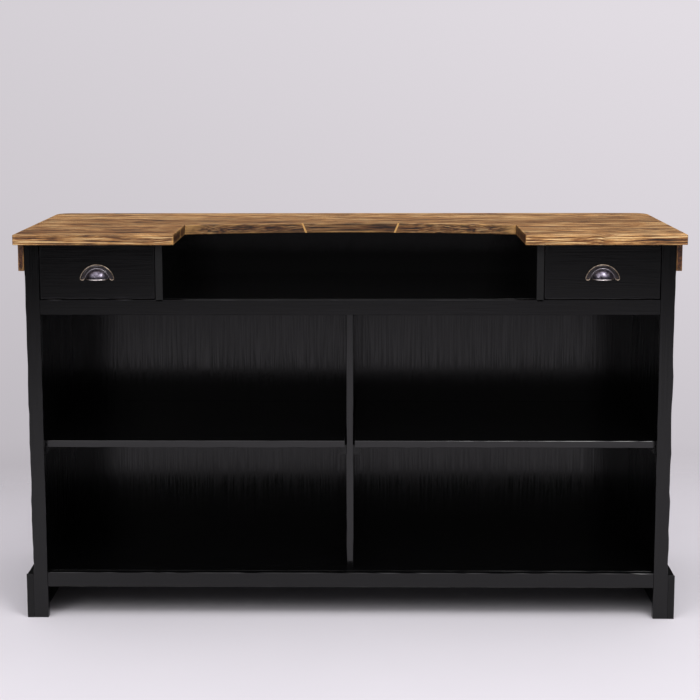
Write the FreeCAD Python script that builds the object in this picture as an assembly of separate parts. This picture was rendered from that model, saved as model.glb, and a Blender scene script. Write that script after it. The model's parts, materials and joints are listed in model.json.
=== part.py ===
import FreeCAD, Part
import math
import os

# A bar counter seen as a joiner builds it: a carcass of side panels, face frame, shelves and
# back panels, two drawers under the ends of a board worktop, and a plinth and frieze around it.
# Lengths are in millimetres. X runs along the counter, Y from the bartender to the customers
# and Z up. The origin is on the floor under the middle of the worktop. "Front" is the
# bartender's side, and left and right are as the bartender sees them.

# Worktop: boards glued edge to edge, with a bay cut out where the bartender stands
top_length = 1850.0
top_width = 600.0
top_height = 1100.0
top_thickness = 28.0
top_corner_radius = 40.0
side_overhang = 25.0
front_overhang = 22.0
customer_overhang = 25.0
front_board_width = 150.0
middle_board_width = 150.0
bay_half_width = 482.0
bay_corner_depth = 250.0
bay_middle_depth = 304.0
bay_bite_in_middle_board = 4.0

# Face frame and the levels that it sets
stile_width = 41.0
frame_thickness = 19.0
mid_rail_height = 43.0
bottom_rail_height = 42.0
bottom_rail_clearance = 91.0
drawer_bay_height = 155.0
tenon_length = 25.0
tenon_thickness = 7.0
tenon_shoulder = 8.0
tenon_end_gap = 1.0

# Carcass boards
side_panel_thickness = 20.0
divider_thickness = 20.0
divider_spacing = 1034.0
partition_thickness = 19.0
partition_setback = 50.0
niche_floor_thickness = 19.0
bottom_shelf_thickness = 19.0
side_housing_depth = 8.0
partition_housing_depth = 6.0
divider_housing_depth = 6.0
divider_housing_stop = 15.0

# Loose shelves and the cleats that carry them
loose_shelf_thickness = 19.0
loose_shelf_top = 510.0
loose_shelf_setback = 25.0
loose_shelf_inner_gap = 4.5
loose_shelf_outer_gap = 1.0
loose_shelf_rear_gap = 1.0
cleat_width = 20.0
cleat_height = 26.0
cleat_rear_gap = 10.0

# Back: two boarded panels behind a customer-side frame
back_panel_thickness = 20.0
board_pitch = 110.0
board_groove_width = 8.0
board_groove_depth = 4.0
customer_frame_thickness = 22.0
customer_stile_width = 70.0
customer_muntin_width = 70.0
customer_rail_height = 95.0
customer_lower_rail_bottom = 53.0

# Plinth on the floor and frieze under the worktop, mitred at the customer-side corners
plinth_thickness = 19.0
plinth_height = 128.0
frieze_thickness = 17.0
frieze_height = 75.0

# Battens under the worktop, with countersunk screws up into its boards
batten_height = 22.0
rear_batten_depth = 30.0
rear_screw_pitch = 300.0
top_screw_length = 38.0
top_screw_shank_radius = 2.0
top_screw_head_radius = 4.0
top_screw_head_height = 2.2
screw_hole_clearance = 0.2

# Drawers: inset fronts, boxes that run on the niche floor, and what guides and stops them
drawer_length = 420.0
drawer_gap = 2.0
drawer_front_thickness = 20.0
drawer_side_thickness = 12.0
drawer_back_thickness = 12.0
drawer_bottom_thickness = 6.0
drawer_bottom_rise = 10.0
drawer_groove_depth = 4.0
drawer_lap_depth = 12.0
drawer_running_clearance = 0.5
kicker_depth = 46.0
kicker_front_gap = 1.0
kicker_clearance = 2.0
drawer_back_top_gap = 6.0
guide_height = 25.0
stop_length = 60.0
stop_depth = 28.0
stop_height = 8.0
stop_gap = 0.3

# Cup pull: a flat half-round flange with two feet, a raised rim and a pressed dome
pull_height_on_front = 58.5
pull_rim_radius = 49.0
pull_rim_centre_drop = 11.0
pull_foot_radius = 6.7
pull_flange_thickness = 2.0
pull_rim_width = 2.2
pull_rim_rise = 1.0
pull_dome_radius = 36.0
pull_dome_setback = 15.0
pull_dome_centre_drop = 7.0
pull_dome_wall = 1.8
pull_lip_drop = 3.0
pull_screw_shank_radius = 1.6
pull_screw_head_radius = 3.2
pull_screw_head_height = 1.4
pull_screw_length = 15.0

# Places worked out from the sizes above
half_length = top_length / 2
front_edge = -top_width / 2
customer_edge = top_width / 2
top_underside = top_height - top_thickness

carcass_half = half_length - side_overhang
side_inner = carcass_half - side_panel_thickness
stile_inner = carcass_half - stile_width
frame_front = front_edge + front_overhang
frame_back = frame_front + frame_thickness
carcass_back = customer_edge - customer_overhang
panel_rear = carcass_back - customer_frame_thickness
panel_front = panel_rear - back_panel_thickness

niche_floor_top = top_underside - drawer_bay_height
niche_floor_underside = niche_floor_top - niche_floor_thickness
bottom_shelf_top = bottom_rail_clearance + bottom_rail_height
bottom_shelf_underside = bottom_shelf_top - bottom_shelf_thickness
batten_underside = top_underside - batten_height
batten_width = stile_width - side_panel_thickness

divider_inner = divider_spacing / 2
divider_outer = divider_inner + divider_thickness
partition_half = partition_thickness / 2
partition_front = frame_front + partition_setback
loose_shelf_underside = loose_shelf_top - loose_shelf_thickness

drawer_outer = stile_inner - drawer_gap
drawer_inner = divider_outer + drawer_gap
drawer_middle = -(drawer_outer + drawer_inner) / 2
drawer_front_back = frame_front + drawer_front_thickness
drawer_rear = frame_front + drawer_length
drawer_underside = niche_floor_top + drawer_running_clearance
drawer_bottom_underside = drawer_underside + drawer_bottom_rise
drawer_bottom_top = drawer_bottom_underside + drawer_bottom_thickness
drawer_side_top = batten_underside - kicker_clearance


def box(x0, x1, y0, y1, z0, z1):
    """A block between two corners."""
    return Part.makeBox(x1 - x0, y1 - y0, z1 - z0, FreeCAD.Vector(x0, y0, z0))


def plan_prism(points, z0, z1):
    """An upright prism on a polygon drawn in plan."""
    corners = [FreeCAD.Vector(x, y, z0) for x, y in points]
    face = Part.Face(Part.makePolygon(corners + corners[:1]))
    return face.extrude(FreeCAD.Vector(0, 0, z1 - z0))


def rod_towards_front(x, y, z, radius, length):
    """A round rod that starts at y and runs towards the bartender."""
    return Part.makeCylinder(radius, length, FreeCAD.Vector(x, y, z), FreeCAD.Vector(0, -1, 0))


def mirrored(shape):
    """The same piece for the right-hand end of the counter."""
    return shape.mirror(FreeCAD.Vector(0, 0, 0), FreeCAD.Vector(1, 0, 0))


def save(name, shape):
    """One file for one named piece, or for one group of identical fasteners."""
    shape.exportStep("parts/" + name + ".step")


def save_pair(name, left_shape):
    """The left-hand piece and its mirror image."""
    save(name + "_left", left_shape)
    save(name + "_right", mirrored(left_shape))


# ---------------------------------------------------------------- worktop


def worktop_slab():
    """The whole top with its rounded customer-side corners and the bartender's bay."""
    slab = box(-half_length, half_length, front_edge, customer_edge, top_underside, top_height)
    corner_edges = []
    for edge in slab.Edges:
        middle = edge.CenterOfMass
        upright = abs(middle.z - (top_underside + top_height) / 2) < top_thickness / 4
        if upright and middle.y > 0:
            corner_edges.append(edge)
    slab = slab.makeFillet(top_corner_radius, corner_edges)
    return slab.cut(bay_cutter())


def bay_cutter():
    """Straight sides and a shallow arc that bows towards the customers."""
    corner_y = front_edge + bay_corner_depth
    middle_y = front_edge + bay_middle_depth
    mouth_y = front_edge - front_overhang
    mouth_left = FreeCAD.Vector(-bay_half_width, mouth_y, 0)
    corner_left = FreeCAD.Vector(-bay_half_width, corner_y, 0)
    corner_right = FreeCAD.Vector(bay_half_width, corner_y, 0)
    mouth_right = FreeCAD.Vector(bay_half_width, mouth_y, 0)
    outline = Part.Wire([
        Part.LineSegment(mouth_left, corner_left).toShape(),
        Part.Arc(corner_left, FreeCAD.Vector(0, middle_y, 0), corner_right).toShape(),
        Part.LineSegment(corner_right, mouth_right).toShape(),
        Part.LineSegment(mouth_right, mouth_left).toShape(),
    ])
    return Part.Face(outline).extrude(FreeCAD.Vector(0, 0, top_height + top_thickness))


def top_screw(x, y, clearance=0.0):
    """A countersunk wood screw driven up through a batten; with clearance, its hole."""
    base = FreeCAD.Vector(x, y, batten_underside)
    up = FreeCAD.Vector(0, 0, 1)
    head = Part.makeCone(top_screw_head_radius + clearance, top_screw_shank_radius + clearance,
                         top_screw_head_height, base, up)
    shank = Part.makeCylinder(top_screw_shank_radius + clearance, top_screw_length + clearance, base, up)
    return head.fuse(shank)


inner_joint = front_edge + bay_middle_depth - bay_bite_in_middle_board
front_joint = front_edge + front_board_width
rear_joint = inner_joint + middle_board_width

side_batten_x = -(side_inner + stile_inner) / 2
side_screw_places = []
for board_front, board_rear in [
    (frame_back, front_joint),
    (front_joint, inner_joint),
    (inner_joint, rear_joint),
    (rear_joint, panel_front),
]:
    side_screw_places.append((side_batten_x, (board_front + board_rear) / 2))
rear_screw_y = panel_front - rear_batten_depth / 2
rear_screw_places = [(-rear_screw_pitch, rear_screw_y), (0.0, rear_screw_y), (rear_screw_pitch, rear_screw_y)]
screw_places = side_screw_places + [(-x, y) for x, y in side_screw_places] + rear_screw_places
screw_holes = Part.makeCompound([top_screw(x, y, screw_hole_clearance) for x, y in screw_places])

worktop = worktop_slab().cut(screw_holes)


def top_board(left, right, front, rear):
    """The stretch of the worktop that one board makes."""
    return worktop.common(box(left, right, front, rear, top_underside, top_height))


def make_worktop():
    save_pair("top_board_front", top_board(-half_length, 0, front_edge, front_joint))
    save_pair("top_board_inner", top_board(-half_length, 0, front_joint, inner_joint))
    save("top_board_middle", top_board(-half_length, half_length, inner_joint, rear_joint))
    save("top_board_rear", top_board(-half_length, half_length, rear_joint, customer_edge))
    save("top_screws", Part.makeCompound([top_screw(x, y) for x, y in screw_places]))


def make_top_battens():
    """Battens screwed to the side panels and to the back, flush with the stiles' inner edges."""
    side = box(-side_inner, -stile_inner, frame_back, panel_front, batten_underside, top_underside)
    rear = box(-divider_inner, divider_inner, panel_front - rear_batten_depth, panel_front,
               batten_underside, top_underside)
    save_pair("top_batten", side.cut(screw_holes))
    save("top_batten_rear", rear.cut(screw_holes))


# ---------------------------------------------------------------- face frame


def rail_with_tenons(rail_end, tenon, front, back, z0, z1):
    """A rail with a centred tenon of the given length at each end."""
    middle = (front + back) / 2
    rail = box(-rail_end, rail_end, front, back, z0, z1)
    tongue = box(-rail_end - tenon, rail_end + tenon,
                 middle - tenon_thickness / 2, middle + tenon_thickness / 2,
                 z0 + tenon_shoulder, z1 - tenon_shoulder)
    return rail.fuse(tongue).removeSplitter()


def mortise(inner_x, front, back, z0, z1):
    """The slot that a left-hand tenon fills, a little deeper than the tenon is long."""
    middle = (front + back) / 2
    return box(-inner_x - tenon_length - tenon_end_gap, -inner_x,
               middle - tenon_thickness / 2, middle + tenon_thickness / 2,
               z0 + tenon_shoulder, z1 - tenon_shoulder)


def make_face_frame():
    mid_rail_bottom = niche_floor_top - mid_rail_height
    stile = box(-carcass_half, -stile_inner, frame_front, frame_back, 0, top_underside)
    stile = stile.cut(mortise(stile_inner, frame_front, frame_back, mid_rail_bottom, niche_floor_top))
    stile = stile.cut(mortise(stile_inner, frame_front, frame_back,
                              bottom_rail_clearance, bottom_shelf_top))
    save_pair("front_stile", stile)
    save("mid_rail", rail_with_tenons(stile_inner, tenon_length, frame_front, frame_back,
                                      mid_rail_bottom, niche_floor_top))
    save("bottom_rail", rail_with_tenons(stile_inner, tenon_length, frame_front, frame_back,
                                         bottom_rail_clearance, bottom_shelf_top))


# ---------------------------------------------------------------- carcass


def make_side_panels():
    """Panels that stand on the floor, housed on the inside for the two fixed shelves."""
    panel = box(-carcass_half, -side_inner, frame_back, panel_rear, 0, top_underside)
    for underside, top in [
        (niche_floor_underside, niche_floor_top),
        (bottom_shelf_underside, bottom_shelf_top),
    ]:
        panel = panel.cut(box(-side_inner - side_housing_depth, -side_inner,
                              frame_back, panel_front, underside, top))
    save_pair("side_panel", panel)


def divider_tongue():
    """The edge of the left divider that drops into the niche floor."""
    return box(-divider_outer, -divider_inner, frame_back + divider_housing_stop, panel_front,
               niche_floor_top - divider_housing_depth, niche_floor_top)


def make_fixed_shelves():
    shelf_end = side_inner + side_housing_depth
    partition_top = niche_floor_underside + partition_housing_depth
    partition_bottom = bottom_shelf_top - partition_housing_depth
    partition = box(-partition_half, partition_half, partition_front, panel_front,
                    partition_bottom, partition_top)

    niche_floor = box(-shelf_end, shelf_end, frame_back, panel_front,
                      niche_floor_underside, niche_floor_top)
    niche_floor = niche_floor.cut(partition)
    niche_floor = niche_floor.cut(divider_tongue())
    niche_floor = niche_floor.cut(mirrored(divider_tongue()))
    save("niche_floor", niche_floor)

    bottom_shelf = box(-shelf_end, shelf_end, frame_back, panel_front,
                       bottom_shelf_underside, bottom_shelf_top)
    save("bottom_shelf", bottom_shelf.cut(partition))
    save("partition", partition)

    divider = box(-divider_outer, -divider_inner, frame_front, panel_front,
                  niche_floor_top, top_underside)
    save_pair("divider", divider.fuse(divider_tongue()).removeSplitter())


def make_loose_shelves():
    """Half-width shelves that lift out, on cleats screwed to the side panels and the partition."""
    shelf = box(-side_inner + loose_shelf_outer_gap, -partition_half - loose_shelf_inner_gap,
                frame_front + loose_shelf_setback, panel_front - loose_shelf_rear_gap,
                loose_shelf_underside, loose_shelf_top)
    save_pair("loose_shelf", shelf)
    cleat_bottom = loose_shelf_underside - cleat_height
    cleat_rear = panel_front - cleat_rear_gap
    save_pair("side_cleat", box(-side_inner, -side_inner + cleat_width,
                                partition_front, cleat_rear, cleat_bottom, loose_shelf_underside))
    save_pair("partition_cleat", box(-partition_half - cleat_width, -partition_half,
                                     partition_front, cleat_rear, cleat_bottom, loose_shelf_underside))


# ---------------------------------------------------------------- customer side


def make_back_panels():
    """Two full-height panels that meet behind the partition, V-grooved like boards outside."""
    panel = box(-side_inner, 0, panel_front, panel_rear, bottom_rail_clearance, top_underside)
    groove_x = -side_inner + board_pitch
    while groove_x < -board_groove_width:
        groove = plan_prism([
            (groove_x - board_groove_width / 2, panel_rear),
            (groove_x, panel_rear - board_groove_depth),
            (groove_x + board_groove_width / 2, panel_rear),
        ], bottom_rail_clearance, top_underside)
        panel = panel.cut(groove)
        groove_x += board_pitch
    save_pair("back_panel", panel)


def make_customer_frame():
    stile_inner_x = carcass_half - customer_stile_width
    upper_rail_bottom = top_underside - customer_rail_height
    lower_rail_top = customer_lower_rail_bottom + customer_rail_height
    muntin_half = customer_muntin_width / 2
    middle_y = (panel_rear + carcass_back) / 2

    stile = box(-carcass_half, -stile_inner_x, panel_rear, carcass_back, 0, top_underside)
    stile = stile.cut(mortise(stile_inner_x, panel_rear, carcass_back,
                              customer_lower_rail_bottom, lower_rail_top))
    stile = stile.cut(mortise(stile_inner_x, panel_rear, carcass_back,
                              upper_rail_bottom, top_underside))
    save_pair("customer_stile", stile)

    muntin = box(-muntin_half, muntin_half, panel_rear, carcass_back, lower_rail_top, upper_rail_bottom)
    muntin_tenon = box(-muntin_half + tenon_shoulder, muntin_half - tenon_shoulder,
                       middle_y - tenon_thickness / 2, middle_y + tenon_thickness / 2,
                       lower_rail_top - tenon_length, upper_rail_bottom + tenon_length)
    muntin_mortise = box(-muntin_half + tenon_shoulder, muntin_half - tenon_shoulder,
                         middle_y - tenon_thickness / 2, middle_y + tenon_thickness / 2,
                         lower_rail_top - tenon_length - tenon_end_gap,
                         upper_rail_bottom + tenon_length + tenon_end_gap)
    save("customer_muntin", muntin.fuse(muntin_tenon).removeSplitter())

    lower_rail = rail_with_tenons(stile_inner_x, tenon_length, panel_rear, carcass_back,
                                  customer_lower_rail_bottom, lower_rail_top)
    upper_rail = rail_with_tenons(stile_inner_x, tenon_length, panel_rear, carcass_back,
                                  upper_rail_bottom, top_underside)
    save("customer_rail_lower", lower_rail.cut(muntin_mortise))
    save("customer_rail_upper", upper_rail.cut(muntin_mortise))


def make_skirt(name, thickness, z0, z1):
    """A board along each side and one along the customer side, mitred where they meet."""
    outer_x = carcass_half + thickness
    outer_y = carcass_back + thickness
    side = plan_prism([
        (-carcass_half, frame_front),
        (-outer_x, frame_front),
        (-outer_x, outer_y),
        (-carcass_half, carcass_back),
    ], z0, z1)
    customer = plan_prism([
        (-outer_x, outer_y),
        (outer_x, outer_y),
        (carcass_half, carcass_back),
        (-carcass_half, carcass_back),
    ], z0, z1)
    save_pair(name, side)
    save(name + "_customer", customer)


# ---------------------------------------------------------------- drawers


def make_drawer_runners():
    """The pieces of the carcass that guide a drawer, keep it level and stop it."""
    guide = box(-side_inner, -side_inner + batten_width, frame_back, panel_front,
                niche_floor_top, niche_floor_top + guide_height)
    save_pair("drawer_guide", guide)

    kicker_front = drawer_front_back + kicker_front_gap
    kicker = box(-stile_inner, -divider_outer, kicker_front, kicker_front + kicker_depth,
                 batten_underside, top_underside)
    save_pair("drawer_kicker", kicker)

    stop_front = drawer_front_back + stop_gap
    stop = box(drawer_middle - stop_length / 2, drawer_middle + stop_length / 2,
               stop_front, stop_front + stop_depth, niche_floor_top, niche_floor_top + stop_height)
    save_pair("drawer_stop", stop)


def make_drawer_box():
    """Rebated front, grooved sides, a tall back that meets the kicker, and a slid-in bottom."""
    outer = -drawer_outer
    inner = -drawer_inner
    side_front = drawer_front_back - drawer_lap_depth
    back_front = drawer_rear - drawer_back_thickness
    outer_side_face = outer + drawer_side_thickness
    inner_side_face = inner - drawer_side_thickness
    groove_left = outer_side_face - drawer_groove_depth
    groove_right = inner_side_face + drawer_groove_depth

    bottom = box(groove_left, groove_right, drawer_front_back - drawer_groove_depth, drawer_rear,
                 drawer_bottom_underside, drawer_bottom_top)
    back = box(groove_left, groove_right, back_front, drawer_rear,
               drawer_bottom_top, top_underside - drawer_back_top_gap)
    outer_side = box(outer, outer_side_face, side_front, drawer_rear, drawer_underside, drawer_side_top)
    inner_side = box(inner_side_face, inner, side_front, drawer_rear, drawer_underside, drawer_side_top)
    bottom_groove = box(groove_left, groove_right, side_front, drawer_rear,
                        drawer_bottom_underside, drawer_bottom_top)

    front = box(outer, inner, frame_front, drawer_front_back,
                niche_floor_top + drawer_gap, top_underside - drawer_gap)
    front = front.cut(box(outer, outer_side_face, side_front, drawer_front_back, 0, top_height))
    front = front.cut(box(inner_side_face, inner, side_front, drawer_front_back, 0, top_height))
    front = front.cut(bottom)
    for screw in pull_screws(screw_hole_clearance):
        front = front.cut(screw)

    save_pair("drawer_front", front)
    save_pair("drawer_side_outer", outer_side.cut(bottom_groove).cut(back))
    save_pair("drawer_side_inner", inner_side.cut(bottom_groove).cut(back))
    save_pair("drawer_back", back)
    save_pair("drawer_bottom", bottom)


# ---------------------------------------------------------------- cup pulls

pull_foot_line = niche_floor_top + drawer_gap + pull_height_on_front
rim_half_chord = math.sqrt(pull_rim_radius ** 2 - pull_rim_centre_drop ** 2)
pull_foot_offset = rim_half_chord - pull_foot_radius


def pull_outline(inset, thickness):
    """The flange with its edge moved in: a disc cut off at the foot line, with round feet."""
    rim_centre = pull_foot_line - pull_rim_centre_drop
    disc = rod_towards_front(drawer_middle, frame_front, rim_centre, pull_rim_radius - inset, thickness)
    disc = disc.common(box(drawer_middle - pull_rim_radius, drawer_middle + pull_rim_radius,
                           frame_front - thickness, frame_front,
                           pull_foot_line, pull_foot_line + pull_rim_radius))
    for side in (-1, 1):
        foot = rod_towards_front(drawer_middle + side * pull_foot_offset, frame_front, pull_foot_line,
                                 pull_foot_radius - inset, thickness)
        disc = disc.fuse(foot)
    return disc


def pull_screws(clearance=0.0):
    """A round-head screw through each foot; with clearance, its hole."""
    screws = []
    for side in (-1, 1):
        x = drawer_middle + side * pull_foot_offset
        face = frame_front - pull_flange_thickness
        head = rod_towards_front(x, face, pull_foot_line, pull_screw_head_radius, pull_screw_head_height)
        shank_tip = face + pull_screw_length + clearance
        shank = rod_towards_front(x, shank_tip, pull_foot_line, pull_screw_shank_radius + clearance,
                                  pull_screw_length + clearance)
        screws.append(shank if clearance else head.fuse(shank))
    return screws


def make_cup_pull():
    """Flange, rim and dome in one casting, open below and behind for the fingers."""
    flange = pull_outline(0, pull_flange_thickness)
    rim = pull_outline(0, pull_flange_thickness + pull_rim_rise)
    rim = rim.cut(pull_outline(pull_rim_width, pull_flange_thickness + pull_rim_rise))
    above_feet = box(drawer_middle - pull_rim_radius, drawer_middle + pull_rim_radius,
                     frame_front - pull_rim_radius, frame_front,
                     pull_foot_line, pull_foot_line + pull_rim_radius)
    rim = rim.common(above_feet)

    centre = FreeCAD.Vector(drawer_middle, frame_front + pull_dome_setback,
                            pull_foot_line - pull_dome_centre_drop)
    in_front = box(drawer_middle - pull_dome_radius, drawer_middle + pull_dome_radius,
                   frame_front - pull_dome_radius, frame_front,
                   pull_foot_line - pull_lip_drop, pull_foot_line + pull_dome_radius)
    dome = Part.makeSphere(pull_dome_radius, centre).common(in_front)
    hollow = Part.makeSphere(pull_dome_radius - pull_dome_wall, centre)

    pull = flange.fuse(rim).fuse(dome).cut(hollow).removeSplitter()
    for screw in pull_screws(screw_hole_clearance):
        pull = pull.cut(screw)
    save_pair("cup_pull", pull)
    save_pair("pull_screws", Part.makeCompound(pull_screws()))


os.makedirs("parts", exist_ok=True)
make_worktop()
make_top_battens()
make_face_frame()
make_side_panels()
make_fixed_shelves()
make_loose_shelves()
make_back_panels()
make_customer_frame()
make_skirt("plinth", plinth_thickness, 0, plinth_height)
make_skirt("frieze", frieze_thickness, top_underside - frieze_height, top_underside)
make_drawer_runners()
make_drawer_box()
make_cup_pull()
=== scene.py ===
import bmesh
import bpy
import json
import random
from math import acos, asin, copysign, cos, degrees, radians, sin, sqrt, tau
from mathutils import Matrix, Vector, noise

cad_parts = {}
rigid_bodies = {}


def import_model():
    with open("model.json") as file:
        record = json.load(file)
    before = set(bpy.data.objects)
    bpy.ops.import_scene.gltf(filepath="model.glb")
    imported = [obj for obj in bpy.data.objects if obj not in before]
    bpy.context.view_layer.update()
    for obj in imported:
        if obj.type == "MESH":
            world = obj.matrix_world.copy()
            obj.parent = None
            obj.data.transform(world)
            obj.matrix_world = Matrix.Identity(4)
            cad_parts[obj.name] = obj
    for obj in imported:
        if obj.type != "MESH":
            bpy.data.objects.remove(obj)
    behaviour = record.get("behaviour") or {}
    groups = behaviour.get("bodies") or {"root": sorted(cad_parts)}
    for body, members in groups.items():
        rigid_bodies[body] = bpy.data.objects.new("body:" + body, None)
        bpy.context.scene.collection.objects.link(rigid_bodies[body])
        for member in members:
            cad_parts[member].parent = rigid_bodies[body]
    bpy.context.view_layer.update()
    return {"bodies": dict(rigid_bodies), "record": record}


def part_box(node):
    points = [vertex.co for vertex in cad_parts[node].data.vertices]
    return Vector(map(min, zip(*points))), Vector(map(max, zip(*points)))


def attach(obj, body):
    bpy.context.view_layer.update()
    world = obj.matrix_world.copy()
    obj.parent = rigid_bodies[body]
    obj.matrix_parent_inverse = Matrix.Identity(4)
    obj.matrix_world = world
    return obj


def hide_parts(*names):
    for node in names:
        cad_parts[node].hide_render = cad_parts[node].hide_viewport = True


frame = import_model()
mm = 0.001
X, Y, Z = 0, 1, 2


# -------- carcass boards
# Side panels, partition, drawer dividers and the two fixed shelves. Planed pine boards painted satin
# black, the side panels wire brushed along the grain first, housed into one another and glued.

def linear(code):
    """An sRGB hex colour as the linear colour that a shader takes. Anything else stays as it is."""
    if not isinstance(code, str) or code[0] != "#":
        return code
    parts = [int(code[i:i + 2], 16) / 255 for i in (1, 3, 5)]
    return [p / 12.92 if p <= 0.04045 else ((p + 0.055) / 1.055) ** 2.4 for p in parts] + [1.0]


def add(tree, kind, settings=None, wires=None):
    """Adds a node, makes its settings, sets or links the inputs that wires names by name or number,
    and gives back its outputs by name. A kind without Node in its name is a shader node, and settings
    that are one word are its operation."""
    made = tree.nodes.new(kind if "Node" in kind else "ShaderNode" + kind)
    if isinstance(settings, str):
        settings = {"operation": settings}
    for setting, value in (settings or {}).items():
        if setting == "stops":
            stops = made.color_ramp.elements
            while len(stops) < len(value):
                stops.new(1.0)
            for stop, (place, colour) in zip(stops, value):
                stop.position = place
                stop.color = linear(colour)
        else:
            setattr(made, setting, value)
    shown = {}
    for socket in made.inputs:
        if socket.enabled:
            shown.setdefault(socket.name, socket)
    for name, value in (wires or {}).items():
        socket = shown[name] if isinstance(name, str) else made.inputs[name]
        if isinstance(value, bpy.types.NodeSocket):
            tree.links.new(value, socket)
        else:
            socket.default_value = linear(value)
    return {socket.name: socket for socket in made.outputs if socket.enabled}


def grey(value):
    return [value, value, value, 1.0]


# Pine as it grew, from a board's own place in the log: rings about the pith, knots that push the
# rings aside, and the short fibres between them that the wire brush opens.
ring_spacing = 4.5 * mm
ring_wander = 22 * mm    # how far the rings stray as they run along the log
fibre_width = 3.5 * mm   # drawn coarser than real fibres, which are too fine to show in a render
streak_width = 18 * mm   # on the face of a board, where its rings are cut nearly flat
streak_depth = 5.0 * mm  # on its edge, where they are cut square
knot_spacing = 150 * mm
knot_radius = 11 * mm
knot_reach = 0.22        # how near a knot the rings bend round it, as a part of the knots' spacing
pine = bpy.data.node_groups.new("pine_figure", "ShaderNodeTree")
pine.interface.new_socket("Grain", in_out="INPUT", socket_type="NodeSocketVector")
for part in ("Late wood", "Fibre", "Streak", "Knot", "Tone"):
    pine.interface.new_socket(part, in_out="OUTPUT", socket_type="NodeSocketFloat")
grain = add(pine, "NodeGroupInput")["Grain"]


def spindles(place, number, detail, roughness=0.5):
    """Noise drawn out along the grain, in so many spindles to the metre along and across it."""
    drawn = add(pine, "VectorMath", "MULTIPLY", {0: place, 1: number})
    return add(pine, "TexNoise", wires={"Vector": drawn["Vector"], "Scale": 1.0, "Detail": detail,
                                        "Roughness": roughness})


drift = spindles(grain, (1.6, 9, 9), 2.5)
bent = add(pine, "VectorMath", "MULTIPLY_ADD",
           {0: drift["Color"], 1: (0, ring_wander, ring_wander), 2: grain})
across = add(pine, "VectorMath", "MULTIPLY", {0: bent["Vector"], 1: (0, 1, 1)})
radius = add(pine, "VectorMath", "LENGTH", {0: across["Vector"]})
knots = add(pine, "TexVoronoi", {"feature": "SMOOTH_F1"},
            {"Vector": grain, "Scale": 1 / knot_spacing, "Smoothness": 0.2})
swirl = add(pine, "MapRange", {"interpolation_type": "SMOOTHERSTEP"},
            {"Value": knots["Distance"], "From Min": knot_reach, "From Max": 0.0,
             "To Max": 1.2 * ring_spacing})
pushed = add(pine, "Math", "ADD", {0: radius["Value"], 1: swirl["Result"]})
rings = add(pine, "Math", "DIVIDE", {0: pushed["Value"], 1: ring_spacing})
ring = add(pine, "Math", "FRACT", {0: rings["Value"]})
late = add(pine, "ValToRGB",
           {"stops": [(0.0, grey(0.25)), (0.1, grey(0.0)), (0.5, grey(0.2)), (0.86, grey(1.0)),
                      (1.0, grey(0.3))]},
           {"Fac": ring["Value"]})
fibre = spindles(bent["Vector"], (5, 1 / fibre_width, 1 / fibre_width), 4.0, 0.65)
streak = spindles(bent["Vector"], (8, 1 / streak_width, 1 / streak_depth), 4.0, 0.75)
knot = add(pine, "MapRange", {"interpolation_type": "SMOOTHSTEP"},
           {"Value": knots["Distance"], "From Min": 1.4 * knot_radius / knot_spacing,
            "From Max": 0.5 * knot_radius / knot_spacing})
tone = spindles(grain, (2.2, 22, 22), 2.0)
add(pine, "NodeGroupOutput", wires={
    "Late wood": late["Color"], "Fibre": fibre["Fac"], "Streak": streak["Fac"],
    "Knot": knot["Result"], "Tone": tone["Fac"]})


def new_finish(name):
    """A new material and its empty node tree."""
    made = bpy.data.materials.new(name)
    made.use_nodes = True
    made.node_tree.nodes.clear()
    return made, made.node_tree


def wood(name):
    """A new material with the pine figure read along the board's own grain."""
    made, tree = new_finish(name)
    place = add(tree, "Attribute", {"attribute_name": "grain"})
    figure = add(tree, "Group", {"node_tree": pine}, {"Grain": place["Vector"]})
    worn = add(tree, "Attribute", {"attribute_name": "worn"})
    ends = add(tree, "Attribute", {"attribute_name": "end_grain"})
    return made, tree, figure, worn["Fac"], ends["Fac"]


def complete(tree, colour, roughness, height, strength, depth, **more):
    """Ends a finish with its relief, its shader and its output."""
    bump = add(tree, "Bump", wires={"Height": height, "Strength": strength, "Distance": depth})
    shader = add(tree, "BsdfPrincipled", wires={"Base Color": colour, "Roughness": roughness,
                                                "Normal": bump["Normal"], **more})
    add(tree, "OutputMaterial", wires={"Surface": shader["BSDF"]})


blend = {"data_type": "RGBA"}                            # mixes B over A
tint = {"data_type": "RGBA", "blend_type": "MULTIPLY"}   # darkens A by B


# Satin black paint, thin enough for the wood's relief to stay: the ridges catch the light in fine
# lines, end grain drinks the gloss, and the arrises are rubbed a little thinner. Their lighter grey
# is partly that wear and partly a painted highlight along the edges.
def painted_black(name, brushing_depth, roughness, groove_roughness, refraction):
    coat, tree, figure, worn, ends = wood(name)
    relief = add(tree, "Math", "MULTIPLY_ADD", {0: figure["Late wood"], 1: 0.2, 2: figure["Fibre"]})
    ridges = add(tree, "MapRange", wires={"Value": figure["Fibre"], "From Min": 0.4, "From Max": 0.75})
    paint = add(tree, "Mix", blend, {"Factor": ridges["Result"], "A": "#020202", "B": "#070708"})
    # Arrises drawn a lighter grey: partly worn paint, partly a painted highlight.
    rubbed_and_highlit = add(tree, "Math", "POWER", {0: worn, 1: 6.0})
    colour = add(tree, "Mix", blend, {"Factor": rubbed_and_highlit["Value"], "A": paint["Result"], "B": "#161517"})
    satin = add(tree, "MapRange", wires={"Value": figure["Fibre"], "From Min": 0.42, "From Max": 0.62,
                                         "To Min": groove_roughness, "To Max": roughness})
    gloss = add(tree, "Math", "MULTIPLY_ADD", {0: ends, 1: 0.45, 2: satin["Result"]})
    complete(tree, colour["Result"], gloss["Value"], relief["Value"], 1.0, brushing_depth, IOR=refraction)
    return coat


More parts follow.
